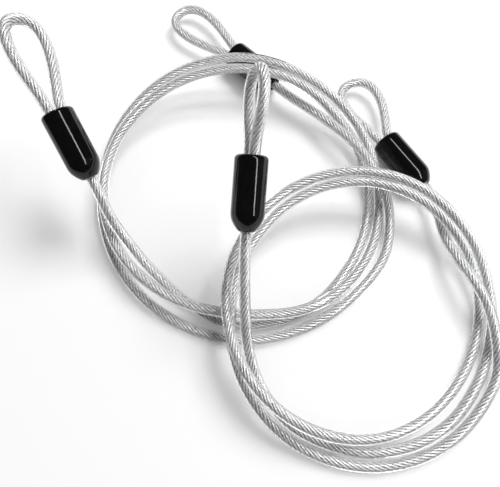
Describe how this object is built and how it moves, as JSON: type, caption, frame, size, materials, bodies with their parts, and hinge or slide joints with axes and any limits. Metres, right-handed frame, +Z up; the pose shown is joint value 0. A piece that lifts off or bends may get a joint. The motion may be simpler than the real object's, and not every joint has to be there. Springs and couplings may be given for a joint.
{
  "type": "cable luggage lock",
  "caption": "Coiled clear-coated steel security cables with a looped eye at each end, held in glossy black moulded sleeves.",
  "frame": {"origin": "middle of the pair's footprint, on the surface it lies on", "axes": "+Z up; +Y from the front coil towards the rear coil, -Y is the front; +X to the right"},
  "size_m": [0.1792, 0.2044, 0.0616],
  "materials": {
    "steel_rope": "bright galvanised strands",
    "clear_pvc": "clear glossy vinyl",
    "ferrule_aluminium": "pressed, dull",
    "black_pvc": "glossy moulded"
  },
  "bodies": {
    "coils": {"rear_run_rope": "steel_rope", "rear_run_jacket": "clear_pvc", "front_run_rope": "steel_rope", "front_run_jacket": "clear_pvc"},
    "rear_left_end": {"rear_left_eye_rope": "steel_rope", "rear_left_eye_jacket": "clear_pvc", "rear_left_ferrule": "ferrule_aluminium", "rear_left_sleeve": "black_pvc"},
    "rear_right_end": {"rear_right_eye_rope": "steel_rope", "rear_right_eye_jacket": "clear_pvc", "rear_right_ferrule": "ferrule_aluminium", "rear_right_sleeve": "black_pvc"},
    "front_left_end": {"front_left_eye_rope": "steel_rope", "front_left_eye_jacket": "clear_pvc", "front_left_ferrule": "ferrule_aluminium", "front_left_sleeve": "black_pvc"},
    "front_right_end": {"front_right_eye_rope": "steel_rope", "front_right_eye_jacket": "clear_pvc", "front_right_ferrule": "ferrule_aluminium", "front_right_sleeve": "black_pvc"}
  },
  "joints": [
    {"name": "rear_left_flex", "type": "hinge", "parent": "coils", "child": "rear_left_end", "pos_m": [-0.0626, -0.0017, 0.0278], "axis": [0, 0, 1], "range_deg": [-12, 12], "stiffness_Nm_per_rad": 0.4},
    {"name": "rear_right_flex", "type": "hinge", "parent": "coils", "child": "rear_right_end", "pos_m": [0.0063, 0.0556, 0.00625], "axis": [0, 0, 1], "range_deg": [-10, 10], "stiffness_Nm_per_rad": 0.4},
    {"name": "front_left_flex", "type": "hinge", "parent": "coils", "child": "front_left_end", "pos_m": [-0.0059, -0.0254, 0.034], "axis": [0, 0, 1], "range_deg": [-12, 12], "stiffness_Nm_per_rad": 0.4},
    {"name": "front_right_flex", "type": "hinge", "parent": "coils", "child": "front_right_end", "pos_m": [0.0667, 0.006, 0.00625], "axis": [0, 0, 1], "range_deg": [-12, 0], "stiffness_Nm_per_rad": 0.4}
  ]
}
